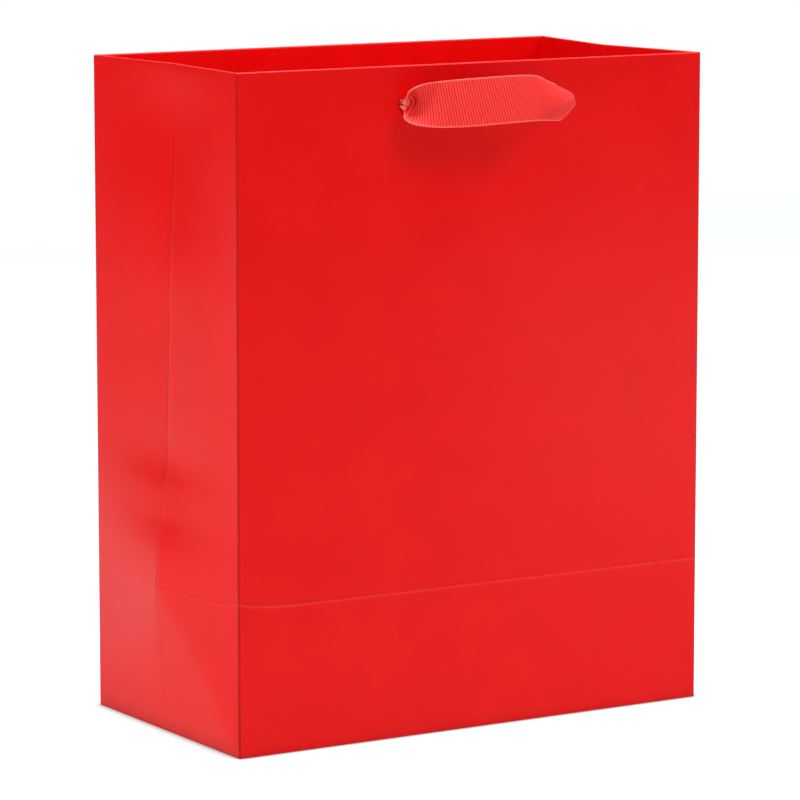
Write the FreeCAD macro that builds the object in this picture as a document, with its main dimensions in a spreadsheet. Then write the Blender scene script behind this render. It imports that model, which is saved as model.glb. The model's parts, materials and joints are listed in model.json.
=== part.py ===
"""Paper gift bag with two ribbon handles, standing open.

The shell is one sheet of coated paper, creased and glued. Each stretch of sheet between two creases is
modelled as a flat piece of its own, because the creases are the hinges that the empty bag folds on.
Origin: middle of the footprint. +X right, +Y back, +Z up. Millimetres.
"""
import FreeCAD, Part
import os
import Sketcher

DIMENSIONS = {
    # overall size of the open bag
    "bag_width": 198,
    "bag_depth": 106,
    "bag_height": 244,
    # sheet and board stock
    "paper": 0.25,
    "card_thick": 0.6,
    "board_thick": 0.8,
    # room at the creases, so that folded pieces never touch
    "sheet_gap": 0.15,
    "crease_gap": 0.25,
    "crease_proud": 0.05,
    "gusset_lift": 2.0,
    # turned hem and the card inside it
    "hem_height": 27,
    "card_height": 25,
    "trim_setback": 13,
    # glued laps
    "seam_width": 15,
    "seam_foot": 4,
    "end_flap_lap": 7,
    "side_flap_length": 50,
    "flap_bevel": 30,
    # stiffening board in the bottom
    "board_margin": 1.0,
    "board_corner": 3,
    # ribbon handles
    "handle_spacing": 61,
    "handle_drop": 14,
    "hole_dia": 5,
    "ribbon_width": 16,
    "ribbon_thick": 0.6,
    "loop_reach": 26,
    "loop_bend": 18,
    "flare_start": 2.4,
    "flare_run": 19,
    "pivot_reach": 3,
    # knots behind the holes
    "neck_dia": 4,
    "neck_reach": 1.6,
    "knot_dia": 9,
    "knot_depth": 4.4,
    "knot_round": 1.8,
    "tail_width": 11,
    "tail_length": 15,
}

doc = FreeCAD.newDocument("GiftBag")
sheet = doc.addObject("Spreadsheet::Sheet", "Sizes")
for row, (alias, number) in enumerate(DIMENSIONS.items(), start=1):
    sheet.set(f"A{row}", alias)
    sheet.set(f"B{row}", str(number))
    sheet.setAlias(f"B{row}", alias)
doc.recompute()

# Places that several pieces share, as expressions on the sheet
HALF_WIDTH = "(Sizes.bag_width / 2)"
HALF_DEPTH = "(Sizes.bag_depth / 2)"
TOP = "Sizes.bag_height"
INNER_X = f"({HALF_WIDTH} - Sizes.paper)"
INNER_Y = f"({HALF_DEPTH} - Sizes.paper)"
FIT_X = f"({INNER_X} - Sizes.sheet_gap)"
FIT_Y = f"({INNER_Y} - Sizes.sheet_gap)"
FOLD_LINE = HALF_DEPTH
TRIM_X = f"({HALF_WIDTH} - Sizes.trim_setback)"
CARD_FACE_Y = f"({INNER_Y} - Sizes.card_thick)"
HEM_FACE_Y = f"({CARD_FACE_Y} - Sizes.paper)"
HEM_FOOT = f"({TOP} - Sizes.hem_height)"
HANDLE_Z = f"({TOP} - Sizes.handle_drop)"
HANDLE_X = "(Sizes.handle_spacing / 2)"
FRONT = "-1"
BACK = "1"


def new_body(label):
    body = doc.addObject("PartDesign::Body", label)
    body.Label = label
    return body


def new_sketch(body, name, role, offset="0", shift="0"):
    """A sketch on one of the body's own origin planes, moved along its normal and sideways."""
    plane = [feature for feature in body.Origin.OriginFeatures if feature.Role == role][0]
    sketch = body.newObject("Sketcher::SketchObject", name)
    sketch.AttachmentSupport = [(plane, "")]
    sketch.MapMode = "FlatFace"
    sketch.setExpression("AttachmentOffset.Base.z", offset)
    sketch.setExpression("AttachmentOffset.Base.x", shift)
    return sketch


def arc_between(start, end, tangent):
    """The arc that leaves start along tangent and reaches end."""
    normal = FreeCAD.Vector(-tangent.y, tangent.x, 0)
    chord = end - start
    radius = chord.Length ** 2 / (2 * chord.dot(normal))
    centre = start + normal * radius
    middle = centre + ((start + end) * 0.5 - centre).normalize() * abs(radius)
    return Part.Arc(start, middle, end)


def draw_outline(sketch, corners):
    """A closed outline. Each corner is (x, y) in expressions; a third item "arc" bends the edge after it."""
    spots = [FreeCAD.Vector(float(sketch.evalExpression(c[0])), float(sketch.evalExpression(c[1])), 0)
             for c in corners]
    edges = []
    heading = None
    for index, corner in enumerate(corners):
        start = spots[index]
        end = spots[(index + 1) % len(spots)]
        if len(corner) == 3:
            edges.append(sketch.addGeometry(arc_between(start, end, heading)))
        else:
            heading = (end - start).normalize()
            edges.append(sketch.addGeometry(Part.LineSegment(start, end)))

    def end_at(edge, spot):
        return min((1, 2), key=lambda which: (sketch.getPoint(edge, which) - spot).Length)

    for index, corner in enumerate(corners):
        edge = edges[index]
        before = edges[index - 1]
        here = end_at(edge, spots[index])
        there = end_at(before, spots[index])
        if len(corner) == 3:
            sketch.addConstraint(Sketcher.Constraint("Tangent", before, there, edge, here))
        else:
            sketch.addConstraint(Sketcher.Constraint("Coincident", before, there, edge, here))
        for kind, expression, number in (("DistanceX", corner[0], spots[index].x),
                                         ("DistanceY", corner[1], spots[index].y)):
            made = sketch.addConstraint(Sketcher.Constraint(kind, -1, 1, edge, here, number))
            sketch.setExpression(f"Constraints[{made}]", expression)


def draw_hole(sketch, x, y, diameter):
    """A round hole whose centre and diameter are expressions."""
    centre = FreeCAD.Vector(float(sketch.evalExpression(x)), float(sketch.evalExpression(y)), 0)
    width = float(sketch.evalExpression(diameter))
    circle = sketch.addGeometry(Part.Circle(centre, FreeCAD.Vector(0, 0, 1), width / 2))
    for kind, expression, number in (("DistanceX", x, centre.x), ("DistanceY", y, centre.y)):
        made = sketch.addConstraint(Sketcher.Constraint(kind, -1, 1, circle, 3, number))
        sketch.setExpression(f"Constraints[{made}]", expression)
    made = sketch.addConstraint(Sketcher.Constraint("Diameter", circle, width))
    sketch.setExpression(f"Constraints[{made}]", diameter)


def pad(body, sketch, thickness, both_ways=False):
    feature = body.newObject("PartDesign::Pad", sketch.Name + "Pad")
    feature.Profile = sketch
    feature.setExpression("Length", thickness)
    if both_ways:
        feature.SideType = "Symmetric"
    sketch.Visibility = False
    doc.recompute()
    return feature


def cut_through(body, sketch):
    """Cuts the sketch through the whole body, both ways from the sketch's plane."""
    before = body.Shape.Volume
    feature = body.newObject("PartDesign::Pocket", sketch.Name + "Cut")
    feature.Profile = sketch
    feature.Type = "ThroughAll"
    feature.SideType = "Symmetric"
    sketch.Visibility = False
    doc.recompute()
    if not body.Shape.Volume < before:
        raise RuntimeError(f"{sketch.Name} cuts nothing")
    return feature


def rectangle(low_x, low_y, high_x, high_y):
    return [(low_x, low_y), (high_x, low_y), (high_x, high_y), (low_x, high_y)]


def flat_piece(label, role, offset, thickness, corners):
    """A flat sheet or board: an outline on a plane, padded by its thickness."""
    body = new_body(label)
    sketch = new_sketch(body, label + "_outline", role, offset)
    draw_outline(sketch, corners)
    pad(body, sketch, thickness)
    return body


def punch_handle_holes(body):
    """The two round holes that a handle's ribbon passes through."""
    sketch = new_sketch(body, body.Name + "_holes", "XZ_Plane")
    for side in ("-", ""):
        draw_hole(sketch, side + HANDLE_X, HANDLE_Z, "Sizes.hole_dia")
    cut_through(body, sketch)


# --- Wide walls: the back runs to the ground, the front stops at the fold line ---

back_panel = flat_piece("back_panel", "XZ_Plane", "-" + HALF_DEPTH, "Sizes.paper",
                        rectangle("-" + FIT_X, "0", FIT_X, TOP))
punch_handle_holes(back_panel)

front_panel = flat_piece("front_panel", "XZ_Plane", INNER_Y, "Sizes.paper",
                         rectangle("-" + FIT_X, FOLD_LINE + " + Sizes.crease_gap", FIT_X, TOP))
punch_handle_holes(front_panel)

flat_piece("front_lower_panel", "XZ_Plane", INNER_Y, "Sizes.paper",
           rectangle("-" + FIT_X, "Sizes.crease_gap", FIT_X, FOLD_LINE + " - Sizes.crease_gap"))

# --- Glued lap that closes the tube, inside the right end of the back wall ---

flat_piece("side_seam_flap", "XZ_Plane", "-" + INNER_Y, "Sizes.paper",
           rectangle(f"{FIT_X} - Sizes.seam_width", "Sizes.seam_foot",
                     FIT_X + " - Sizes.crease_gap", HEM_FOOT + " - Sizes.crease_gap"))

# --- Gussets: each side wall is two halves that meet at the centre crease, with a turned hem on each ---

GUSSET_HALVES = {
    "front": ("-" + FIT_Y, "-Sizes.sheet_gap"),
    "back": ("Sizes.sheet_gap", FIT_Y),
}
for hand, wall_face, hem_face in (("left", "-" + HALF_WIDTH, "-" + INNER_X),
                                  ("right", INNER_X, f"{INNER_X} - Sizes.paper")):
    for half, (low_y, high_y) in GUSSET_HALVES.items():
        flat_piece(f"{hand}_gusset_{half}", "YZ_Plane", wall_face, "Sizes.paper",
                   rectangle(low_y, "Sizes.gusset_lift", high_y, TOP))
        flat_piece(f"{hand}_hem_{half}", "YZ_Plane", hem_face, "Sizes.paper",
                   rectangle(low_y + " + Sizes.crease_gap", HEM_FOOT,
                             high_y + " - Sizes.crease_gap", TOP))

# --- Top edge of the wide walls: a punched card, and the paper turned in over it ---

for side, name in ((FRONT, "front"), (BACK, "back")):
    card_offset = CARD_FACE_Y if side == FRONT else "-" + INNER_Y
    card = flat_piece(f"{name}_top_card", "XZ_Plane", card_offset, "Sizes.card_thick",
                      rectangle("-" + TRIM_X, f"{TOP} - Sizes.paper - Sizes.card_height",
                                TRIM_X, f"{TOP} - Sizes.paper"))
    punch_handle_holes(card)

    hem = new_body(f"{name}_hem")
    profile = new_sketch(hem, f"{name}_hem_profile", "YZ_Plane")
    face = f"{side} * {HEM_FACE_Y}"
    inside = f"{side} * {CARD_FACE_Y}"
    wall = f"{side} * {INNER_Y}"
    draw_outline(profile, [(face, HEM_FOOT), (inside, HEM_FOOT), (inside, f"{TOP} - Sizes.paper"),
                           (wall, f"{TOP} - Sizes.paper"), (wall, TOP), (face, TOP)])
    pad(hem, profile, f"2 * {TRIM_X}", both_ways=True)
    punch_handle_holes(hem)

# --- Bottom: side flaps inside, then the back and front flaps glued over them, and a loose-cut board ---

flat_piece("bottom_front_flap", "XY_Plane", "0", "Sizes.paper",
           rectangle("-" + FIT_X, "-" + FIT_Y, FIT_X, "Sizes.end_flap_lap"))
flat_piece("bottom_back_flap", "XY_Plane", "Sizes.paper", "Sizes.paper",
           rectangle("-" + FIT_X, "-Sizes.end_flap_lap", FIT_X, FIT_Y))
for hand, side in (("left", "-1"), ("right", "1")):
    root = f"{side} * {FIT_X}"
    bend = f"{side} * ({FIT_X} - Sizes.side_flap_length + Sizes.flap_bevel)"
    tip = f"{side} * ({FIT_X} - Sizes.side_flap_length)"
    flat_piece(f"bottom_{hand}_flap", "XY_Plane", "2 * Sizes.paper", "Sizes.paper",
               [(root, "-" + FIT_Y), (bend, "-" + FIT_Y), (tip, f"-{FIT_Y} + Sizes.flap_bevel"),
                (tip, f"{FIT_Y} - Sizes.flap_bevel"), (bend, FIT_Y), (root, FIT_Y)])

board = flat_piece("bottom_board", "XY_Plane", "3 * Sizes.paper", "Sizes.board_thick",
                   rectangle(f"-({FIT_X} - Sizes.board_margin)", f"-({FIT_Y} - Sizes.board_margin)",
                             f"{FIT_X} - Sizes.board_margin", f"{FIT_Y} - Sizes.board_margin"))
blank = board.Tip
upright = [f"Edge{number}" for number, edge in enumerate(blank.Shape.Edges, start=1)
           if abs(edge.tangentAt(edge.FirstParameter).z) > 0.99]
rounding = board.newObject("PartDesign::Fillet", "bottom_board_corners")
rounding.Base = (blank, upright)
rounding.setExpression("Radius", "Sizes.board_corner")
doc.recompute()


# --- Ribbon handles: a loop that swings about the holes, and a knot behind each hole ---

def ribbon_handle(label, side):
    """A D-shaped loop of ribbon on edge, narrowed towards the holes where it is bunched."""
    body = new_body(label)
    plan = new_sketch(body, label + "_plan", "XY_Plane", HANDLE_Z)
    start = f"{side} * ({HALF_DEPTH} + Sizes.pivot_reach)"
    bend = f"{side} * ({HALF_DEPTH} + Sizes.loop_reach - Sizes.loop_bend)"
    outer = f"{side} * ({HALF_DEPTH} + Sizes.loop_reach)"
    inner = f"{side} * ({HALF_DEPTH} + Sizes.loop_reach - Sizes.ribbon_thick)"
    outer_x = f"({HANDLE_X} + Sizes.ribbon_thick / 2)"
    inner_x = f"({HANDLE_X} - Sizes.ribbon_thick / 2)"
    turn_x = f"({outer_x} - Sizes.loop_bend)"
    draw_outline(plan, [("-" + outer_x, start), ("-" + outer_x, bend, "arc"), ("-" + turn_x, outer),
                        (turn_x, outer, "arc"), (outer_x, bend), (outer_x, start),
                        (inner_x, start), (inner_x, bend, "arc"), (turn_x, inner),
                        ("-" + turn_x, inner, "arc"), ("-" + inner_x, bend), ("-" + inner_x, start)])
    pad(body, plan, "Sizes.ribbon_width", both_ways=True)

    flare = new_sketch(body, label + "_flare", "YZ_Plane")
    full = f"{side} * ({HALF_DEPTH} + Sizes.pivot_reach + Sizes.flare_run)"
    clear = f"{side} * ({HALF_DEPTH} + Sizes.pivot_reach - 1)"
    for way in ("+", "-"):
        draw_outline(flare, [(start, f"{HANDLE_Z} {way} Sizes.flare_start / 2"),
                             (full, f"{HANDLE_Z} {way} Sizes.ribbon_width / 2"),
                             (full, f"{HANDLE_Z} {way} Sizes.ribbon_width"),
                             (clear, f"{HANDLE_Z} {way} Sizes.ribbon_width"),
                             (clear, f"{HANDLE_Z} {way} Sizes.flare_start / 2")])
    cut_through(body, flare)
    return body


def ribbon_knot(label, side, hole_x):
    """A knot behind the wall, the neck that fills the hole, and the short cut end hanging below."""
    body = new_body(label)
    profile = new_sketch(body, label + "_profile", "XY_Plane", HANDLE_Z, hole_x)
    outside = f"{side} * ({HALF_DEPTH} + Sizes.neck_reach)"
    seat = f"{side} * {HEM_FACE_Y}"
    shoulder = f"{side} * ({HEM_FACE_Y} - Sizes.knot_round)"
    crown = f"{side} * ({HEM_FACE_Y} - Sizes.knot_depth + Sizes.knot_round)"
    end = f"{side} * ({HEM_FACE_Y} - Sizes.knot_depth)"
    neck = "Sizes.neck_dia / 2"
    wide = "Sizes.knot_dia / 2"
    flat = "Sizes.knot_dia / 2 - Sizes.knot_round"
    draw_outline(profile, [("0", outside), (neck, outside), (neck, seat), (flat, seat, "arc"),
                           (wide, shoulder), (wide, crown, "arc"), (flat, end), ("0", end)])
    turned = body.newObject("PartDesign::Revolution", label + "_turned")
    turned.Profile = profile
    turned.ReferenceAxis = (profile, ["V_Axis"])
    turned.Angle = 360
    profile.Visibility = False
    doc.recompute()

    middle = f"({HEM_FACE_Y} - Sizes.knot_depth / 2)"
    tail = new_sketch(body, label + "_tail", "YZ_Plane", hole_x)
    draw_outline(tail, rectangle(f"{side} * ({middle} + Sizes.ribbon_thick / 2)",
                                 f"{HANDLE_Z} - Sizes.knot_dia / 4 - Sizes.tail_length",
                                 f"{side} * ({middle} - Sizes.ribbon_thick / 2)",
                                 f"{HANDLE_Z} - Sizes.knot_dia / 4"))
    pad(body, tail, "Sizes.tail_width", both_ways=True)
    return body


for side, name in ((FRONT, "front"), (BACK, "back")):
    ribbon_handle(f"{name}_handle_ribbon", side)
    for hand, hole_x in (("left", "-" + HANDLE_X), ("right", HANDLE_X)):
        ribbon_knot(f"{name}_{hand}_knot", side, hole_x)

# --- Check every feature, then write one file for each piece ---

doc.recompute()
for thing in doc.Objects:
    if "Invalid" in thing.State or "Error" in thing.State:
        raise RuntimeError(f"{thing.Label} failed: {thing.State}")

os.makedirs("parts", exist_ok=True)
for body in [thing for thing in doc.Objects if thing.isDerivedFrom("PartDesign::Body")]:
    if body.Shape.isNull() or not body.Shape.isValid():
        raise RuntimeError(f"{body.Label} has no valid shape")
    body.Shape.exportStep(f"parts/{body.Label}.step")
    box = body.Shape.BoundBox
    print(f"{body.Label:24s} {box.XLength:7.2f} {box.YLength:7.2f} {box.ZLength:7.2f}  "
          f"solids {len(body.Shape.Solids)}  volume {body.Shape.Volume:.1f}")
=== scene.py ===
"""Looks of a red paper gift bag with two short ribbon handles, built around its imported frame."""
import json
import math

import bpy
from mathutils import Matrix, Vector


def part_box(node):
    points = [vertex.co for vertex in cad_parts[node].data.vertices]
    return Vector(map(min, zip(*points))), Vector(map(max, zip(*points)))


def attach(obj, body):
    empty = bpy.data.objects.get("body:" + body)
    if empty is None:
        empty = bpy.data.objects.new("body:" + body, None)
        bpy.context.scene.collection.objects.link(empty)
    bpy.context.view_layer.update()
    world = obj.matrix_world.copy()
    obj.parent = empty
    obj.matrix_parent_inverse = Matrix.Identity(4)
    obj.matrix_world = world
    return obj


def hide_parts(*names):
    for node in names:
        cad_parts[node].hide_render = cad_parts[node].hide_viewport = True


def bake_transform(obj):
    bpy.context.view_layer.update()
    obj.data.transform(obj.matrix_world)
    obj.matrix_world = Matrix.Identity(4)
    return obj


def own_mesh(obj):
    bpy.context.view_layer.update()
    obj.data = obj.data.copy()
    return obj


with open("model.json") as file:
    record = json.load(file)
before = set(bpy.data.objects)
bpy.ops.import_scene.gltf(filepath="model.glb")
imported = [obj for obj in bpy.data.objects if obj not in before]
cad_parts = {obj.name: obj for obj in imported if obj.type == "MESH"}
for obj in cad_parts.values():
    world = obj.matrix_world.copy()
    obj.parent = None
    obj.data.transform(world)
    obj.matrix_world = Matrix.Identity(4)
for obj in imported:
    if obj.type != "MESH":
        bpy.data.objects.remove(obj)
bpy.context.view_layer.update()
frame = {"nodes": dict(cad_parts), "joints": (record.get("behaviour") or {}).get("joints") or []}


# ---------------------------------------------------------------------------------------------
# Front and back walls. Each is part of one web of red art paper, printed and matt coated, that
# turns over at the mouth into a deep hem. The front one is creased across low down, where the
# empty bag folds flat, with a pale highlight painted along the crease and a faint shade painted just above
# it.
# ---------------------------------------------------------------------------------------------
MM = 0.001


def box_mm(node):
    """The lowest and highest corners of a frame node, in millimetres."""
    low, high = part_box(node)
    return low / MM, high / MM


half_width = -box_mm("left_gusset_front")[0].x
half_depth = -box_mm("front_panel")[0].y
height = box_mm("front_panel")[1].z
paper = box_mm("front_panel")[1].y - box_mm("front_panel")[0].y
fold_height = box_mm("front_panel")[0].z
hem_foot = box_mm("left_hem_front")[0].z
hole_across = (box_mm("front_right_knot")[0].x + box_mm("front_right_knot")[1].x) / 2
hole_height = next(j for j in frame["joints"] if j["name"] == "front_handle_swing")["pos_m"][2] / MM
hole_radius = 2.5
wall_hem_spread = 1.1
corner_round = 0.5
corner_turn = math.radians(80)
foot_clear = 0.1
crease_rise = 2.7
crease_rise_reach = 8.0
crease_rise_fade = 30
wall_bow = 0.7
hair_steps = (0.0, 0.25, 0.5, 0.8, 1.2, 2.0, 3.6)


def spaced(start, end, gap):
    """Evenly spaced values from start to end, no further apart than gap."""
    count = max(1, math.ceil(abs(end - start) / gap))
    return [start + (end - start) * i / count for i in range(count + 1)]


def smooth(x):
    """Eases from 0 to 1."""
    x = max(0.0, min(1.0, x))
    return x * x * (3 - 2 * x)


def near(distance, reach):
    """1 at a line, falling to 0 at that distance from it."""
    return max(0.0, 1 - abs(distance) / reach)


def over_the_rim(path, spread):
    """How far behind the outer face, and how high, a strip is that runs up, over the rim and down."""
    bend = spread / 2
    top = height - bend
    if path <= top:
        return 0.0, path
    turn = (path - top) / bend
    if turn < math.pi:
        return bend * (1 - math.cos(turn)), top + bend * math.sin(turn)
    return spread, top - bend * (turn - math.pi)


def rows_over_rim(low, spread, gap):
    """Places along such a strip, close together at its ends and at the rim."""
    bend = spread / 2
    top = height - bend
    hem_end = top + math.pi * bend + top - hem_foot
    rows = set(spaced(low, top - hair_steps[-1], gap)) | {low + s for s in hair_steps}
    rows |= {top - s for s in hair_steps} | {top + math.pi * bend * i / 6 for i in range(1, 7)}
    rows |= set(spaced(top + math.pi * bend + hair_steps[-1], hem_end, gap))
    rows |= {top + math.pi * bend + s for s in hair_steps} | {hem_end - s for s in hair_steps}
    return thinned(row for row in rows if low <= row <= hem_end)


def thinned(values):
    """Sorted values without near repeats."""
    kept = []
    for value in sorted(values):
        if not kept or value - kept[-1] > 0.08:
            kept.append(value)
    return kept


def hem_path(z, spread):
    """How far along the strip a height on its hem is."""
    bend = spread / 2
    return 2 * (height - bend) + math.pi * bend - z


def put_in_scene(name, data):
    """An object that shows the data, linked to the scene."""
    thing = bpy.data.objects.new(name, data)
    bpy.context.scene.collection.objects.link(thing)
    return thing


def paper_sheet(name, across, along, place, painted_light, holes=(), flip=False, sharp=None):
    """A closed thin sheet, made flat as a grid with punched holes and then folded by place()."""
    patch = 2 * hole_radius
    for centre_a, centre_p in holes:
        across = thinned([a for a in across if not 0 < abs(abs(a - centre_a) - patch) < 0.9]
                         + [centre_a - patch, centre_a + patch])
        along = thinned([p for p in along if not 0 < abs(abs(p - centre_p) - patch) < 0.9]
                        + [centre_p - patch, centre_p + patch])
    flat = [(a, p) for p in along for a in across]
    wide = len(across)
    quads = []
    rims = [[] for _ in holes]
    for r in range(len(along) - 1):
        for c in range(wide - 1):
            middle_a = (across[c] + across[c + 1]) / 2
            middle_p = (along[r] + along[r + 1]) / 2
            if any(max(abs(middle_a - a), abs(middle_p - p)) < patch for a, p in holes):
                continue
            first = r * wide + c
            corners = (first, first + 1, first + wide + 1, first + wide)
            if sharp and sharp(flat[corners[1]], flat[corners[3]]):
                quads.append((corners[0], corners[1], corners[3]))
                quads.append((corners[1], corners[2], corners[3]))
            else:
                quads.append(corners)
    for hole, (centre_a, centre_p) in enumerate(holes):
        for index, (a, p) in enumerate(flat):
            if abs(max(abs(a - centre_a), abs(p - centre_p)) - patch) < 1e-6:
                rims[hole].append((math.atan2(p - centre_p, a - centre_a), index))
        rims[hole].sort()
        ring = [index for _, index in rims[hole]]
        for radius in (hole_radius + 1.0, hole_radius):
            inner = []
            for angle, _ in rims[hole]:
                flat.append((centre_a + radius * math.cos(angle), centre_p + radius * math.sin(angle)))
                inner.append(len(flat) - 1)
            for i in range(len(ring)):
                j = (i + 1) % len(ring)
                quads.append((ring[i], ring[j], inner[j], inner[i]))
            ring = inner
    used = sorted({index for quad in quads for index in quad})
    renumber = {old: new for new, old in enumerate(used)}
    flat = [flat[old] for old in used]
    quads = [tuple(renumber[index] for index in quad) for quad in quads]
    if flip:
        quads = [quad[::-1] for quad in quads]
    mesh = bpy.data.meshes.new(name)
    mesh.from_pydata([Vector(place(a, p)) * MM for a, p in flat], [], quads)
    mesh.polygons.foreach_set("use_smooth", [True] * len(mesh.polygons))
    # Painted shade and painted highlight strengths, kept on the points.
    for kind in ("painted_shade", "painted_highlight"):
        values = mesh.attributes.new(kind, "FLOAT", "POINT")
        values.data.foreach_set("value", [painted_light(a, p)[kind == "painted_highlight"] for a, p in flat])
    if sharp:
        edges = mesh.attributes.new("sharp_edge", "BOOLEAN", "EDGE")
        edges.data.foreach_set("value", [sharp(flat[e.vertices[0]], flat[e.vertices[1]]) for e in mesh.edges])
    mesh.update()
    piece = put_in_scene(name, mesh)
    thickness = piece.modifiers.new("paper", "SOLIDIFY")
    thickness.thickness = paper * MM
    thickness.offset = -1
    return piece


def linear(hex_colour):
    """An sRGB hex colour as linear red, green, blue and alpha."""
    parts = [int(hex_colour[i:i + 2], 16) / 255 for i in (1, 3, 5)]
    return [p / 12.92 if p <= 0.04045 else ((p + 0.055) / 1.055) ** 2.4 for p in parts] + [1.0]


def add_node(tree, kind, settings=None, links=None):
    """Adds one node, sets its properties and inputs, and joins its inputs to other nodes' outputs."""
    node = tree.nodes.new(kind)
    for name, value in (settings or {}).items():
        if isinstance(name, str) and hasattr(node, name):
            setattr(node, name, value)
        else:
            node.inputs[name].default_value = value
    for name, output in (links or {}).items():
        tree.links.new(output, node.inputs[name])
    return node


def two_tone(tree, factor, low, high):
    """A ramp between two colours, each given as its place and its sRGB hex colour."""
    ramp = add_node(tree, "ShaderNodeValToRGB", {}, {"Fac": factor})
    for element, (place, hex_colour) in zip(ramp.color_ramp.elements, (low, high)):
        element.position = place
        element.color = linear(hex_colour)
    return ramp


def new_material(name):
    """An empty node material and its tree."""
    material = bpy.data.materials.new(name)
    material.use_nodes = True
    material.node_tree.nodes.clear()
    return material, material.node_tree


# Art paper, dyed right through and matt coated: to the eye an even deep red with a weak soft
# gloss, slightly cloudy from the press, with shade painted darker into its creases, corner grooves
# and foot, and highlights painted pinkish along the rim's top edge and the crease crests.
red_art_paper, tree = new_material("matt_coated_red_art_paper")
where = add_node(tree, "ShaderNodeTexCoord")
cloud = add_node(tree, "ShaderNodeTexNoise", {"Scale": 38.0, "Detail": 3.0, "Roughness": 0.55},
                 {"Vector": where.outputs["Object"]})
ink = two_tone(tree, cloud.outputs["Fac"], (0.38, "#D70405"), (0.64, "#DB0708"))
# Painted shade: the paper darkens towards #8C0000 in the corner grooves, along the creases and at the foot,
# where shade falls.
painted_shade = add_node(tree, "ShaderNodeAttribute", {"attribute_name": "painted_shade"})
painted_highlight = add_node(tree, "ShaderNodeAttribute", {"attribute_name": "painted_highlight"})
ink_with_painted_shade = add_node(tree, "ShaderNodeMix", {"data_type": "RGBA", 7: linear("#8C0000")},
                    {0: painted_shade.outputs["Fac"], 6: ink.outputs["Color"]})
# The painted highlight breaks up along its length in flecks of about 2 mm.
flecks = add_node(tree, "ShaderNodeTexNoise", {"Scale": 420.0, "Detail": 2.0},
                  {"Vector": where.outputs["Object"]})
fleck_strength = add_node(tree, "ShaderNodeMapRange",
                          {"From Min": 0.3, "From Max": 0.62, "To Min": 0.55, "To Max": 1.0},
                          {"Value": flecks.outputs["Fac"]})
highlight_share = add_node(tree, "ShaderNodeMath", {"operation": "MULTIPLY"},
               {0: painted_highlight.outputs["Fac"], 1: fleck_strength.outputs["Result"]})
# Painted highlight: pinkish #F25A57 along the rim's top edge and on the crease crests, where they catch the
# light.
ink_with_painted_highlight = add_node(tree, "ShaderNodeMix", {"data_type": "RGBA", 7: linear("#F25A57")},
                {0: highlight_share.outputs["Value"], 6: ink_with_painted_shade.outputs[2]})
# Paper fibre under the coating: about 0.3 mm long, drawn at about 0.8 mm so that it shows.
fibre = add_node(tree, "ShaderNodeTexNoise", {"Scale": 1300.0, "Detail": 4.0, "Roughness": 0.6},
                 {"Vector": where.outputs["Object"]})
grain = add_node(tree, "ShaderNodeBump", {"Strength": 0.10, "Distance": 0.0001},
                 {"Height": fibre.outputs["Fac"]})
gloss = add_node(tree, "ShaderNodeMapRange", {"To Min": 0.28, "To Max": 0.36},
                 {"Value": cloud.outputs["Fac"]})
shader = add_node(tree, "ShaderNodeBsdfPrincipled", {"IOR": 1.45, "Specular IOR Level": 0.145},
                  {"Base Color": ink_with_painted_highlight.outputs[2], "Roughness": gloss.outputs["Result"],
                   "Normal": grain.outputs["Normal"]})
add_node(tree, "ShaderNodeOutputMaterial", {}, {"Surface": shader.outputs["BSDF"]})


def crease_lift(distance):
    """How much higher the fold line runs that far from the near left corner."""
    return crease_rise * math.exp(-distance / crease_rise_reach)


def wall_point(front):
    """The fold of a wall: across it, and along its strip, to a point in space."""
    side = -1 if front else 1

    def place(a, p):
        depth, z = over_the_rim(p, wall_hem_spread)
        flat_half = half_width - corner_round
        turn = max(0.0, (abs(a) - flat_half) / corner_round)
        x = math.copysign(min(abs(a), flat_half) + corner_round * math.sin(turn), a)
        away = half_depth - corner_round * (1 - math.cos(turn)) - depth
        if depth > 0.3:
            x = math.copysign(min(abs(x), half_width - 0.75 * depth), x)
        if front:
            z += crease_lift(half_width + a) * near(p - fold_height, crease_rise_fade)
        reach = smooth((z - fold_height) / 50) * smooth((hem_foot - z) / 40)
        bow = wall_bow * math.cos(math.pi * a / (2 * half_width)) ** 2 * reach
        bow *= math.sin(0.021 * a + 0.013 * z + 0.6 * side)
        return x, side * (away + bow), z

    return place


def wall_painted_light(front):
    """Painted shade and painted highlight strength on a wall."""

    def painted_light(a, p):
        depth, z = over_the_rim(p, wall_hem_spread)
        # Painted shade in the corner groove between wall and gusset.
        corner = near(half_width + corner_round * 0.4 - abs(a), 0.95)
        # Painted highlight along the rounded top edge of the rim.
        highlight_share = 0.75 * near(z - height, 0.5) if p > height - 3 else 0.0
        shade_share = 1.0 * corner
        if front:
            # Painted highlight along the crest of the front crease.
            highlight_share = max(highlight_share, 0.28 * near(p - fold_height, 0.6))
            # Faint painted shade just above the front crease.
            shade_share = max(shade_share, 0.12 * near(p - fold_height - 1.0, 0.8))
        return (0.0 if depth > 0.3 else shade_share), highlight_share

    return painted_light


def wall_columns():
    """Places across a wall, close together at its corners."""
    reach = half_width - corner_round + corner_round * corner_turn
    edges = [reach - 0.12 * i for i in range(8)] + [reach - 0.9 - s for s in hair_steps]
    return thinned(spaced(-95, 95, 5.5) + edges + [-e for e in edges])


hem_hole = hem_path(hole_height, wall_hem_spread)
wall_holes = [(x, p) for x in (-hole_across, hole_across) for p in (hole_height, hem_hole)]
for side_name, low_row in (("front", fold_height), ("back", foot_clear)):
    is_front = side_name == "front"
    sheet = paper_sheet(side_name + "_wall_paper", wall_columns(),
                        rows_over_rim(low_row, wall_hem_spread, 5.5), wall_point(is_front),
                        wall_painted_light(is_front), wall_holes, flip=not is_front)
    sheet.data.materials.append(red_art_paper)
    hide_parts(side_name + "_panel", side_name + "_hem")
    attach(sheet, side_name + "_wall")

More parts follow.
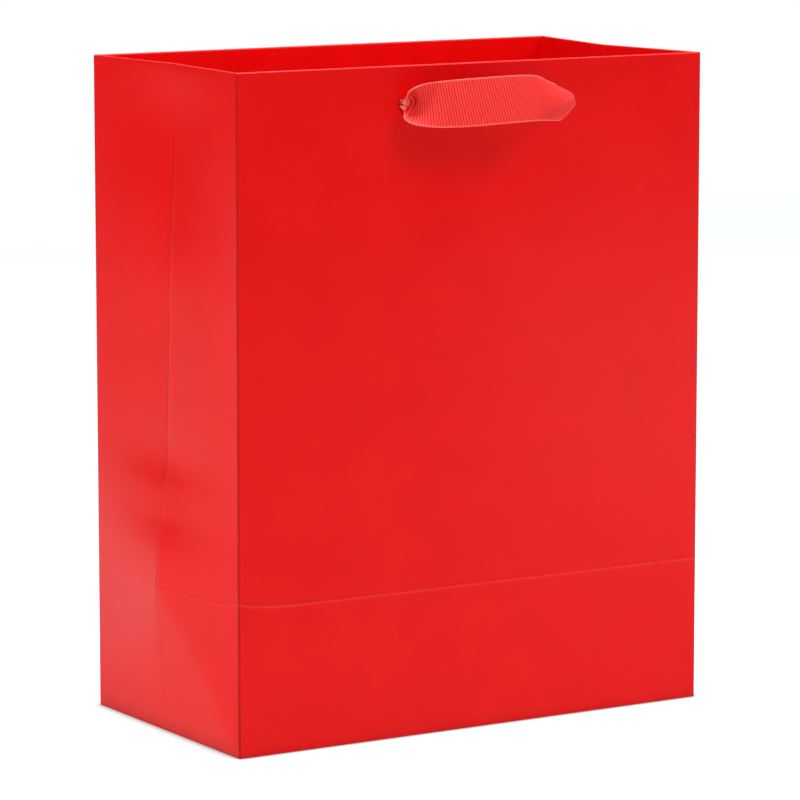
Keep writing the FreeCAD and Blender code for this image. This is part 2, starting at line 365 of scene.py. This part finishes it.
# The strip of the front wall under the crease is a panel of its own when the bag folds.
foot_rows = thinned(spaced(foot_clear, fold_height, 5.5) + [fold_height - s for s in hair_steps]
                    + [foot_clear + s for s in hair_steps])
front_foot_paper = paper_sheet("front_foot_paper", wall_columns(), foot_rows, wall_point(True),
                               wall_painted_light(True))
front_foot_paper.data.materials.append(red_art_paper)
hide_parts("front_lower_panel")
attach(front_foot_paper, "front_foot")


# ---------------------------------------------------------------------------------------------
# Side gussets. The same web of paper, creased down the middle so that each side tucks in when
# the bag folds. The fold of the foot leaves a shallow four-sided bulge low down.
# ---------------------------------------------------------------------------------------------
gusset_hem_spread = 0.65
gusset_swell = 0.35
# How far the middle crease stands in from the flat side at a few heights; it bulges out low down.
crease_stand = {
    -1: ((fold_height, -4.5), (64.0, -4.3), (84.0, -1.6), (103.0, 0.8), (158.0, 1.9), (226.0, 5.0),
         (height, 4.0)),
    1: ((fold_height, -3.0), (84.0, 0.5), (158.0, 3.6), (226.0, 7.4), (height, 7.6))}


def stand_at(side, z):
    """The middle crease's stand at a height, eased between the known ones."""
    for (z0, d0), (z1, d1) in zip(crease_stand[side], crease_stand[side][1:]):
        if z <= z1:
            return d0 + (d1 - d0) * smooth((z - z0) / (z1 - z0))
    return crease_stand[side][-1][1]


def soft_least(a, b, reach):
    """The lesser of two values, rounded off where they cross."""
    mix = max(0.0, reach - abs(a - b)) / reach
    return min(a, b) - mix * mix * reach / 4


def gusset_point(side, half):
    """The fold of half a gusset: its distance from the middle crease, and its strip, to a point."""

    def place(a, p):
        depth, z = over_the_rim(p, gusset_hem_spread)
        share = 1 - a / half_depth
        if z < fold_height:
            # The middle crease dies away below the fold, so it is rounded more and more there.
            round_off = 0.02 + 0.35 * (1 - z / fold_height)
            widest = math.hypot(1, round_off)
            share = (widest - math.hypot(a / half_depth, round_off)) / (widest - round_off)
            rise = z / fold_height
            full = soft_least(1.0, rise, 0.12)
            lean = soft_least(share, rise, 0.12) if half < 0 else share * full
            stand = crease_stand[side][0][1] * max(0.0, lean)
        else:
            stand = stand_at(side, z) * share
        if side < 0 and half < 0:
            z += crease_lift(half_depth - a) * near(p - fold_height, crease_rise_fade)
        swell = gusset_swell * math.sin(math.pi * a / half_depth) * math.sin(z / 31 + side + half)
        swell *= smooth((hem_foot - z) / 30) * smooth((z - fold_height) / 20)
        x = side * (half_width - stand - depth + swell)
        return x, half * a, z

    return place


def gusset_painted_light(side, half):
    """Painted shade and painted highlight strength on half a gusset."""

    def painted_light(a, p):
        depth, z = over_the_rim(p, gusset_hem_spread)
        edge = half_depth - corner_round * (1 - math.cos(corner_turn))
        # Painted shade in the corner groove at the gusset's edge.
        shade_share = near(edge - a, 0.35)
        # Painted highlight along the rounded top edge of the rim.
        highlight_share = 0.9 * near(z - height, 0.35) if p > height - 3 else 0.0
        clear = 0.35 + 0.65 * smooth((hem_foot - z) / 12)
        clear *= smooth((z - fold_height * 0.7) / 20)
        if half > 0:
            # Painted shade in the middle crease of the back half.
            shade_share = max(shade_share, 0.75 * clear * near(a, 0.5))
        else:
            # Painted highlight in a band beside the middle crease of the front half.
            highlight_share = max(highlight_share, 0.12 * clear * near(a - 0.9, 1.2))
            # Painted shade in the middle crease of the front half.
            shade_share = max(shade_share, 0.45 * clear * near(a, 0.25))
            # Painted highlight along the level fold.
            highlight_share = max(highlight_share, 0.16 * near(p - fold_height, 0.7))
            # Faint painted shade just above the level fold.
            shade_share = max(shade_share, 0.10 * near(p - fold_height - 1.0, 0.8))
        # Painted shade in the lowest 8 mm of the gusset, near the floor.
        shade_share = max(shade_share, 0.22 * smooth((8 - z) / 8))
        return (0.0 if depth > 0.3 else shade_share), highlight_share

    return painted_light


def on_diagonal(start, end):
    """Whether an edge of the flat sheet lies on the bulge's slanting crease or on the level fold line."""
    on_line = all(abs(a + p - fold_height) < 0.35 and p > fold_height / 2 for a, p in (start, end))
    level = all(abs(p - fold_height) < 0.05 for a, p in (start, end))
    return on_line or level


diagonal_cells = 18
cell = fold_height / diagonal_cells
gusset_edge = half_depth - corner_round * (1 - math.cos(corner_turn))
gusset_columns = thinned([cell * i for i in range(1, diagonal_cells)]
                         + [gusset_edge - s for s in hair_steps[:4]] + [0.02, 0.2, 0.5, 0.9, 1.4])
gusset_rows = thinned([cell * i for i in range(1, diagonal_cells + 1)]
                      + rows_over_rim(fold_height, gusset_hem_spread, 6.0)
                      + [fold_height - step for step in hair_steps[1:5]] + [foot_clear, 0.8])
for side, side_name in ((-1, "left"), (1, "right")):
    for half, half_name in ((-1, "front"), (1, "back")):
        body = side_name + "_gusset_" + half_name
        sheet = paper_sheet(body + "_paper", gusset_columns, gusset_rows, gusset_point(side, half),
                            gusset_painted_light(side, half), flip=side * half < 0, sharp=on_diagonal)
        sheet.data.materials.append(red_art_paper)
        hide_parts(body, side_name + "_hem_" + half_name)
        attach(sheet, body)
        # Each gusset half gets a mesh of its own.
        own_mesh(sheet)


# ---------------------------------------------------------------------------------------------
# Bottom: the four end flaps of the web, folded in over each other and glued, with a loose grey
# board laid on them that keeps the bottom flat. Side seam: the web's glued end, inside the back.
# ---------------------------------------------------------------------------------------------
def refinish(nodes, material):
    """Gives frame nodes that are shown as they are their real finish."""
    for node in nodes:
        frame["nodes"][node].data.materials.clear()
        frame["nodes"][node].data.materials.append(material)


refinish(("bottom_front_flap", "bottom_back_flap", "bottom_left_flap", "bottom_right_flap",
          "side_seam_flap"), red_art_paper)

# Grey board, pressed from waste paper: matt and warm grey, with darker and lighter fibre specks.
grey_board, tree = new_material("pressed_grey_board")
where = add_node(tree, "ShaderNodeTexCoord")
# Fibre clumps of about 1.5 mm.
clumps = add_node(tree, "ShaderNodeTexNoise", {"Scale": 650.0, "Detail": 5.0, "Roughness": 0.7},
                  {"Vector": where.outputs["Object"]})
pulp = two_tone(tree, clumps.outputs["Fac"], (0.30, "#8F8A82"), (0.68, "#B9B4AB"))
felt = add_node(tree, "ShaderNodeBump", {"Strength": 0.35, "Distance": 0.0002},
                {"Height": clumps.outputs["Fac"]})
shader = add_node(tree, "ShaderNodeBsdfPrincipled", {"Roughness": 0.85, "IOR": 1.5},
                  {"Base Color": pulp.outputs["Color"], "Normal": felt.outputs["Normal"]})
add_node(tree, "ShaderNodeOutputMaterial", {}, {"Surface": shader.outputs["BSDF"]})
refinish(("bottom_board", "front_top_card", "back_top_card"), grey_board)


# ---------------------------------------------------------------------------------------------
# Handles: a short length of 16 mm grosgrain ribbon at each wall. Its two ends are gathered, go in
# through the punched holes and are knotted inside, and the rest stands out as a flat loop.
# ---------------------------------------------------------------------------------------------
ribbon_cut_half = 8.4
ribbon_paper_thick = 0.42
rib_pitch = 1.0
rib_rise = 0.22
samples_per_rib = 8
edge_bead = 0.22
ribbon_lean = 0.30
weft_skew = 0.18
# The bunched left end is pushed in: how deep, how far along, over what length, and where across.
dent_depth = 2.2
dent_along = 6.2
dent_run = 2.2
dent_across = 0.25
dent_spread = 0.38
# The loop from its left hole to its right one: how far across, how far out, and its top and
# bottom edges above the holes. It cups open at the left and rolls closed at the right.
loop_route = (
    (-30.5, -2.4, 1.2, -1.2), (-30.5, 0.0, 1.8, -1.8), (-30.3, 2.0, 3.2, -2.8), (-29.7, 4.2, 5.4, -4.8),
    (-28.4, 6.8, 7.0, -6.2), (-25.4, 10.3, 8.2, -7.0), (-20.6, 14.0, 8.8, -7.2), (-13.0, 17.8, 9.5, -6.9),
    (0.0, 22.4, 10.2, -5.9), (10.0, 24.8, 10.1, -5.4), (16.5, 25.4, 7.6, -5.7), (21.5, 25.2, 6.2, -5.5),
    (25.6, 23.6, 5.2, -3.6), (28.6, 20.8, 3.8, -1.9), (30.8, 16.4, 2.6, -1.5), (31.8, 11.0, 2.0, -1.7),
    (31.6, 5.0, 1.9, -1.7), (30.5, 0.0, 1.8, -1.8), (30.5, -2.4, 1.2, -1.2))


def between(p0, p1, p2, p3, t):
    """A point on the smooth curve from p1 to p2, at t from 0 to 1."""
    return [0.5 * (2 * b + (c - a) * t + (2 * a - 5 * b + 4 * c - d) * t * t
                   + (3 * b - a - 3 * c + d) * t * t * t) for a, b, c, d in zip(p0, p1, p2, p3)]


def even_route(route, step):
    """The route as points a step apart: distance along, across, out, top and bottom."""
    ends = [route[0], *route, route[-1]]
    fine = [between(*ends[i:i + 4], j / 40) for i in range(len(route) - 1) for j in range(40)]
    fine.append(list(route[-1]))
    distance = 0.0
    points = [[0.0, *fine[0]]]
    for before, after in zip(fine, fine[1:]):
        gap = math.hypot(after[0] - before[0], after[1] - before[1])
        while distance + gap >= points[-1][0] + step:
            share = (points[-1][0] + step - distance) / gap
            points.append([points[-1][0] + step,
                           *[b + (a - b) * share for a, b in zip(after, before)]])
        distance += gap
    return points


def ribbon_section(half, cup, gather, t):
    """Across a ribbon at t from -1 to 1: how far up, and how far towards the bag, it lies."""
    open_share = min(1.0, half / ribbon_cut_half)
    bend = max(0.05, min(1.75, 2.55 * math.sqrt(1 - open_share)))
    radius = half / math.sin(min(bend, math.pi / 2))
    outermost = 0.5 * (1 + math.cos(bend)) + 0.5 * (1 - math.cos(bend)) * smooth(-cup)
    inward = cup * radius * (math.cos(bend * t) - outermost)
    pleats = (0.2 + 0.3 * smooth(cup)) * gather * math.cos(2.5 * math.pi * t + 0.6)
    return radius * math.sin(bend * t) * (1 - 0.15 * gather), inward * (1 - 0.7 * gather) + pleats


def ribbon_loop(name, front):
    """The loop of ribbon as a ribbed strip, with its cloth coordinates in millimetres."""
    step = rib_pitch / samples_per_rib
    route = even_route(loop_route, step)
    across = [-1.0, -0.965] + [-1 + 2 * i / 30 for i in range(1, 30)] + [0.965, 1.0]
    verts = []
    coords = []
    painted_rib_shades = []
    fray_and_highlight_shares = []
    for i, (s, x, out, top, bottom) in enumerate(route):
        before = route[max(0, i - 1)]
        after = route[min(len(route) - 1, i + 1)]
        run_x, run_out = after[1] - before[1], after[2] - before[2]
        size = math.hypot(run_x, run_out) or 1.0
        normal_x, normal_out = -run_out / size, run_x / size
        half = (top - bottom) / 2
        middle = (top + bottom) / 2
        gather = smooth((4.4 - half) / 2.2)
        cup = 0.75 - 0.75 * smooth((s - 8) / 14) - smooth((s - 48) / 26)
        ribbed = 1 - 0.97 * smooth((s - 38) / 24)
        for t in across:
            up, inward = ribbon_section(half, cup, gather, t)
            woven = s + weft_skew * up * (1 - gather)
            rib = abs(math.cos(math.pi * woven / rib_pitch))
            edge = smooth((abs(t) - 0.93) / 0.06)
            relief = rib_rise * (rib ** 0.8 - 0.5) * ribbed * (1 - 0.5 * gather)
            dent = math.exp(-((s - dent_along) / dent_run) ** 2 - ((t - dent_across) / dent_spread) ** 2)
            out_shift = relief - inward - ribbon_lean * up - dent_depth * dent
            up += math.copysign(edge_bead * rib * edge, t)
            px = x + normal_x * out_shift
            po = out + normal_out * out_shift
            wave = 0.5 * math.sin(s / 9.0) * smooth((s - 20) / 20) * ribbed * t
            pz = middle + up
            point = (px, -half_depth - po - wave * 0.4, hole_height + pz)
            verts.append(point if front else (-point[0], -point[1], point[2]))
            coords.append((s, t * ribbon_cut_half))
            # Shade painted into the rib valleys, an even painted shade where the ribs fade out, and less at
            # the beaded edges.
            wave_share = smooth(1.3 * (0.5 - 0.5 * math.cos(2 * math.pi * woven / rib_pitch)) - 0.15)
            painted_rib_shades.append((wave_share * ribbed + 0.38 * (1 - ribbed)) * (1 - 0.7 * edge))
            # Pale frayed yarn along the edges; at the bunched left end frayed yarn, partly a painted
            # highlight that lightens the end where it lies in shade.
            fray_and_highlight_shares.append(max(0.45 * edge, 0.9 * smooth((4.5 - s) / 2.5)))
    wide = len(across)
    quads = [(r * wide + c, r * wide + c + 1, (r + 1) * wide + c + 1, (r + 1) * wide + c)
             for r in range(len(route) - 1) for c in range(wide - 1)]
    return strip_mesh(name, verts, quads, coords, painted_rib_shades, fray_and_highlight_shares)


def strip_mesh(name, verts, quads, coords, painted_rib_shades, fray_and_highlight_shares=None):
    """A strip of ribbon from its points, with its cloth coordinates, shade painted into its rib valleys, and
    its frayed and painted-highlight places.
    """
    mesh = bpy.data.meshes.new(name)
    mesh.from_pydata([Vector(v) * MM for v in verts], [], quads)
    mesh.polygons.foreach_set("use_smooth", [True] * len(mesh.polygons))
    cloth = mesh.uv_layers.new(name="cloth")
    flat = [value for loop in mesh.loops for value in coords[loop.vertex_index]]
    cloth.data.foreach_set("uv", flat)
    mesh.attributes.new("painted_rib_shade", "FLOAT", "POINT").data.foreach_set("value", painted_rib_shades)
    fray_and_highlight_places = mesh.attributes.new("fray_and_highlight", "FLOAT", "POINT")
    fray_and_highlight_places.data.foreach_set("value", fray_and_highlight_shares or [0.0] * len(verts))
    mesh.update()
    piece = put_in_scene(name, mesh)
    thickness = piece.modifiers.new("cloth", "SOLIDIFY")
    thickness.thickness = ribbon_paper_thick * MM
    thickness.offset = 0
    return piece


# Grosgrain, woven in polyester with a thick weft: cross ribs with a soft pinkish sheen on their
# crowns, shade painted deep red between them, and a fine warp that shows as short ticks along the ribbon.
grosgrain, tree = new_material("red_polyester_grosgrain")
cloth = add_node(tree, "ShaderNodeUVMap", {"uv_map": "cloth"})
painted_rib_shade = add_node(tree, "ShaderNodeAttribute", {"attribute_name": "painted_rib_shade"})
fray_and_highlight = add_node(tree, "ShaderNodeAttribute", {"attribute_name": "fray_and_highlight"})
# Warp threads lie about 0.25 mm apart, drawn at 0.5 mm so that they show.
warp = add_node(tree, "ShaderNodeTexWave",
                {"bands_direction": "Y", "Scale": 0.314 / 0.5, "Distortion": 0.6, "Detail": 1.0},
                {"Vector": cloth.outputs["UV"]})
dye = add_node(tree, "ShaderNodeTexNoise", {"Scale": 0.35, "Detail": 2.0}, {"Vector": cloth.outputs["UV"]})
crown = two_tone(tree, dye.outputs["Fac"], (0.3, "#EE3B39"), (0.7, "#F2423F"))
# Painted shade: the ribbon darkens towards #B40000 between its ribs.
rib_shade_share = add_node(tree, "ShaderNodeMath", {"operation": "MULTIPLY", 1: 0.95},
                       {0: painted_rib_shade.outputs["Fac"]})
shaded = add_node(tree, "ShaderNodeMix", {"data_type": "RGBA", 7: linear("#B40000")},
                  {0: rib_shade_share.outputs["Value"], 6: crown.outputs["Color"]})
# Pale pink of frayed yarn, partly a painted highlight at the bunched left end.
yarn = add_node(tree, "ShaderNodeMix", {"data_type": "RGBA", 7: linear("#FF8A80")},
                {0: fray_and_highlight.outputs["Fac"], 6: shaded.outputs[2]})
ticks = add_node(tree, "ShaderNodeBump", {"Strength": 0.25, "Distance": 0.00012},
                 {"Height": warp.outputs["Fac"]})
shader = add_node(tree, "ShaderNodeBsdfPrincipled",
                  {"Roughness": 0.62, "IOR": 1.5, "Specular IOR Level": 0.1, "Sheen Weight": 0.06,
                   "Sheen Roughness": 0.4},
                  {"Base Color": yarn.outputs[2], "Normal": ticks.outputs["Normal"]})
add_node(tree, "ShaderNodeOutputMaterial", {}, {"Surface": shader.outputs["BSDF"]})

for side_name, out_sign in (("front", -1), ("back", 1)):
    loop = ribbon_loop(side_name + "_ribbon_loop", side_name == "front")
    loop.data.materials.append(grosgrain)
    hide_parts(side_name + "_handle_ribbon")
    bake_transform(loop)


# ---------------------------------------------------------------------------------------------
# Knots: inside the mouth each gathered ribbon end is tied in an overhand knot against the hem,
# which keeps it from pulling out, and its cut end hangs down as a short slanting tail.
# ---------------------------------------------------------------------------------------------
knot_radius = 3.05
knot_strand = 1.4
tail_half = 5.2
tail_cut_slant = 2.4
knot_rings = 168
knot_around = 14
tail_columns = 21


def knot_point(t):
    """The line of an overhand knot, lying against the wall: across, up, and in from the wall."""
    size = knot_radius / 3
    return (size * (math.sin(t) + 2 * math.sin(2 * t)), size * (math.cos(t) - 2 * math.cos(2 * t)),
            0.85 * -math.sin(3 * t))


def knot(name, centre, inward, tail_foot, turn):
    """A knot of ribbed cord round its centre, with its tail hanging to tail_foot."""
    verts = []
    coords = []
    painted_rib_shades = []
    for i in range(knot_rings):
        t = 2 * math.pi * i / knot_rings
        here = Vector(knot_point(t))
        ahead = (Vector(knot_point(t + 0.02)) - Vector(knot_point(t - 0.02))).normalized()
        out_of = Vector((0, 0, 1)) - ahead * ahead.z
        out_of.normalize()
        beside = ahead.cross(out_of)
        rib = abs(math.cos(14 * t))
        for j in range(knot_around):
            angle = 2 * math.pi * j / knot_around
            strand = knot_strand * (0.93 + 0.09 * rib)
            offset = beside * math.cos(angle) * strand + out_of * math.sin(angle) * strand * 0.8
            spot = here + offset
            c, s = math.cos(turn), math.sin(turn)
            verts.append((centre.x + spot.x * c - spot.y * s, centre.y + inward * spot.z,
                          centre.z + spot.x * s + spot.y * c))
            coords.append((i * 0.3, j * 0.5))
            # Shade painted between the ribs of the knotted cord.
            painted_rib_shades.append(1 - rib)
    quads = []
    for i in range(knot_rings):
        ring = i * knot_around
        next_ring = ((i + 1) % knot_rings) * knot_around
        for j in range(knot_around):
            k = (j + 1) % knot_around
            quads.append((ring + j, ring + k, next_ring + k, next_ring + j))
    if inward > 0:
        quads = [quad[::-1] for quad in quads]
    ball = strip_mesh(name, verts, quads, coords, painted_rib_shades)
    ball.modifiers.clear()
    verts, coords, painted_rib_shades = [], [], []
    drop = centre.z - tail_foot
    rows = int(drop / rib_pitch * samples_per_rib)
    across = [-1 + i / 10 for i in range(tail_columns)]
    for i in range(rows + 1):
        share = i / rows
        spread = smooth(share * 1.8)
        half = 1.3 + (tail_half - 1.3) * spread
        rib = abs(math.cos(math.pi * share * drop / rib_pitch))
        for t in across:
            cut = tail_cut_slant * (t * 0.5 - 0.5) * share
            z = centre.z - share * drop - cut
            wave = 0.55 * math.cos(2.2 * t + turn) * spread
            wave += 0.35 * (1 - spread) * math.cos(5 * math.pi * t)
            lift = 0.15 * (rib - 0.5) + 0.4 * math.sin(3.0 * share + turn)
            verts.append((centre.x + half * t + 0.6 * math.sin(2 * share + turn),
                          centre.y + inward * (wave + lift), z))
            coords.append((share * drop, t * tail_half))
            # Shade painted between the ribs of the tail.
            painted_rib_shades.append(1 - rib)
    wide = tail_columns
    quads = [(r * wide + c, r * wide + c + 1, (r + 1) * wide + c + 1, (r + 1) * wide + c)
             for r in range(rows) for c in range(wide - 1)]
    tail = strip_mesh(name + "_tail", verts, quads, coords, painted_rib_shades)
    return ball, tail


for side_name, inward in (("front", 1), ("back", -1)):
    for place_name, turn in (("left", 0.4), ("right", -0.7)):
        node = side_name + "_" + place_name + "_knot"
        low, high = box_mm(node)
        face = half_depth - wall_hem_spread
        centre = Vector(((low.x + high.x) / 2, -inward * (face - 2.4), hole_height))
        for piece in knot(node + "_tied", centre, inward, low.z, turn):
            piece.data.materials.append(grosgrain)
            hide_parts(node)
            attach(piece, side_name + "_wall")


# ---------------------------------------------------------------------------------------------
# Studio: the bag stands on a white sweep under large soft boxes, seen a little from above and
# from its near left corner.
# ---------------------------------------------------------------------------------------------
floor_half = 1.4
floor_mesh = bpy.data.meshes.new("white_sweep")
floor_mesh.from_pydata([(-floor_half, -floor_half, 0), (floor_half, -floor_half, 0),
                        (floor_half, floor_half, 0), (-floor_half, floor_half, 0)], [], [(0, 1, 2, 3)])
floor = put_in_scene("white_sweep", floor_mesh)
# Opal acrylic table, lit softly from below: even white, which swallows all but the contact shadow.
# Within 4 mm of the bag the glow is shaded, so that a thin grey line shows where the bag stands.
opal_acrylic, tree = new_material("lit_opal_acrylic")
where = add_node(tree, "ShaderNodeTexCoord")
tooth = add_node(tree, "ShaderNodeTexNoise", {"Scale": 300.0, "Detail": 2.0},
                 {"Vector": where.outputs["Object"]})
contact = add_node(tree, "ShaderNodeAmbientOcclusion",
                   {"Distance": 0.004, "samples": 16, "Color": linear("#AABEBE")})
glow = add_node(tree, "ShaderNodeMapRange",
                {"From Min": 0.5, "From Max": 0.95, "To Min": 0.4, "To Max": 0.79},
                {"Value": contact.outputs["AO"]})
bump = add_node(tree, "ShaderNodeBump", {"Strength": 0.02, "Distance": 0.0001},
                {"Height": tooth.outputs["Fac"]})
shader = add_node(tree, "ShaderNodeBsdfPrincipled",
                  {"Roughness": 0.9, "Specular IOR Level": 0.1, "Emission Color": (1.0, 1.0, 1.0, 1.0)},
                  {"Base Color": contact.outputs["Color"], "Emission Strength": glow.outputs["Result"],
                   "Normal": bump.outputs["Normal"]})
add_node(tree, "ShaderNodeOutputMaterial", {}, {"Surface": shader.outputs["BSDF"]})
floor_mesh.materials.append(opal_acrylic)

# The white room round the sweep only shows; it gives no light, so that the soft boxes shape the paper.
room_mesh = bpy.data.meshes.new("white_room")
room_corners = [(x, y, z) for z in (-0.01, 9.0) for x, y in ((-9, -9), (9, -9), (9, 9), (-9, 9))]
room_mesh.from_pydata(room_corners, [], [(0, 1, 2, 3), (7, 6, 5, 4), (0, 4, 5, 1), (1, 5, 6, 2),
                                         (2, 6, 7, 3), (3, 7, 4, 0)])
room = put_in_scene("white_room", room_mesh)
room.visible_diffuse = False
room.visible_glossy = False
room.visible_shadow = False
room_paint, tree = new_material("lit_white_room")
lit = add_node(tree, "ShaderNodeEmission", {"Color": (1.0, 1.0, 1.0, 1.0), "Strength": 1.02})
add_node(tree, "ShaderNodeOutputMaterial", {}, {"Surface": lit.outputs["Emission"]})
room_mesh.materials.append(room_paint)

# The room's fill light is left out of reflections, which would lay a grey veil over the coated paper.
world = bpy.data.worlds.new("soft_fill")
bpy.context.scene.world = world
world.use_nodes = True
world.node_tree.nodes["Background"].inputs["Color"].default_value = (1.0, 1.0, 1.0, 1.0)
world.node_tree.nodes["Background"].inputs["Strength"].default_value = 0.39
world.cycles_visibility.glossy = False


def soft_box(name, place, target, size, power, mirrored=True):
    """A square soft box that points at a target, in metres and watts."""
    lamp = bpy.data.lights.new(name, "AREA")
    lamp.shape = "SQUARE"
    lamp.size = size
    lamp.energy = power
    holder = put_in_scene(name, lamp)
    holder.visible_camera = False
    holder.visible_glossy = mirrored
    holder.location = place
    holder.rotation_euler = (Vector(target) - Vector(place)).to_track_quat("-Z", "Y").to_euler()


middle = (0.0, 0.0, 0.12)
soft_box("key_soft_box", (0.5, -1.0, 0.95), middle, 0.4, 5.4, mirrored=False)
soft_box("right_soft_box", (0.32, -0.34, 0.04), (0.09, -0.05, 0.05), 0.2, 0.22)
soft_box("left_soft_box", (-0.7, -0.15, 0.14), (-0.1, 0.0, 0.1), 0.4, 2.25)
soft_box("mouth_soft_box", (0.0, -0.035, 0.55), (0.0, 0.02, 0.2), 0.05, 1.8)
soft_box("floor_soft_box", (0.0, 0.0, 1.6), (0.0, 0.0, 0.0), 1.2, 5.0, mirrored=False)

view_yaw = math.radians(31.71)
view_pitch = math.radians(8.566)
view_distance = 1.6232
view_height = 0.3591
view_turn = math.radians(0.022)
camera = put_in_scene("camera", bpy.data.cameras.new("camera"))
camera.data.lens = 197.85
camera.data.sensor_width = 36.0
camera.location = (-math.sin(view_yaw) * view_distance, -math.cos(view_yaw) * view_distance, view_height)
camera.rotation_euler = (math.pi / 2 - view_pitch, 0, -view_yaw - view_turn)
bpy.context.scene.camera = camera
bpy.context.scene.view_settings.view_transform = "Standard"
